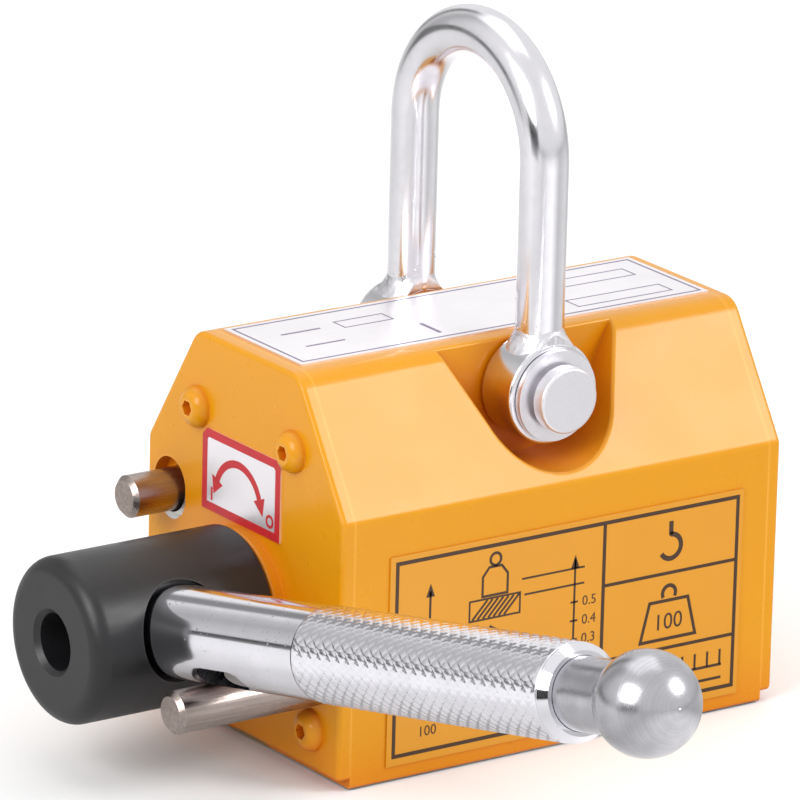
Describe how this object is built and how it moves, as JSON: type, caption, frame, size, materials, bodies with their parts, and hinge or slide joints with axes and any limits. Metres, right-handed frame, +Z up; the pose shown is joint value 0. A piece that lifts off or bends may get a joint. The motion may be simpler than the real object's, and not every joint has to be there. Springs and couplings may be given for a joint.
{
  "type": "lifting magnet",
  "caption": "Lever-switched permanent lifting magnet with a swinging shackle, a pivoting hand lever with a ball end, and a flat pole face underneath.",
  "frame": {"origin": "middle of the flat pole face on the bottom", "axes": "+Z up, away from the load; the lever end faces -X; the lever rests (off) towards -Y"},
  "size_m": [0.1327, 0.1815, 0.1242],
  "materials": {
    "yellow_paint": "gloss enamel, amber yellow",
    "black_coating": "satin black",
    "chrome_plate": "polished",
    "zinc_plate": "bright zinc",
    "plain_steel": "cut and tumbled",
    "rotor_steel": "turned",
    "screw_steel": "blackened",
    "magnet_plating": "nickel",
    "brass": "ground",
    "bronze": "sintered",
    "silver_foil": "satin foil",
    "label_film": "printed clear film"
  },
  "bodies": {
    "magnet_body": {"pole_block_right": "yellow_paint", "pole_block_left": "yellow_paint", "bottom_spacer": "brass", "top_bar": "yellow_paint", "stator_magnets": "magnet_plating", "front_end_plate": "yellow_paint", "rear_end_plate": "yellow_paint", "front_bush": "bronze", "rear_bush": "bronze", "front_plate_screws": "yellow_paint", "rear_plate_screws": "yellow_paint", "off_stop_pin": "plain_steel", "shackle_pin": "zinc_plate", "pin_washers": "zinc_plate", "pin_retaining_ring": "screw_steel", "top_nameplate": "silver_foil", "turn_label": "silver_foil", "rating_label": "label_film"},
    "lever": {"rotor_pole_right": "rotor_steel", "rotor_pole_left": "rotor_steel", "rotor_magnets": "magnet_plating", "rotor_front_journal": "rotor_steel", "rotor_rear_journal": "rotor_steel", "rotor_cap_screws": "screw_steel", "hub_key": "screw_steel", "lever_hub": "black_coating", "hub_washer": "screw_steel", "hub_screw": "screw_steel", "lever_tube": "chrome_plate", "spring_seat": "plain_steel", "lock_spring": "screw_steel"},
    "knob": {"ball_knob": "chrome_plate", "lock_rod": "plain_steel", "lock_tongue": "plain_steel"},
    "shackle": {"shackle_bow": "zinc_plate", "shackle_eye_right": "zinc_plate", "shackle_eye_left": "zinc_plate"},
    "catch": {"catch_pin": "plain_steel"}
  },
  "joints": [
    {"name": "lever_turn", "type": "hinge", "parent": "magnet_body", "child": "lever", "pos_m": [-0.046, 0, 0.0248], "axis": [-1, 0, 0], "range_deg": [0, 163]},
    {"name": "knob_press", "type": "slide", "parent": "lever", "child": "knob", "axis": [0, 0.9789, -0.2044], "range_m": [0, 0.006], "stiffness_N_per_m": 300, "springref_m": -0.01, "deforming": ["lock_spring"]},
    {"name": "shackle_swing", "type": "hinge", "parent": "magnet_body", "child": "shackle", "pos_m": [0.0012, 0, 0.0615], "axis": [0, 1, 0], "range_deg": [-56, 56]},
    {"name": "catch_slide", "type": "slide", "parent": "magnet_body", "child": "catch", "axis": [-1, 0, 0], "range_m": [0, 0.013]}
  ]
}
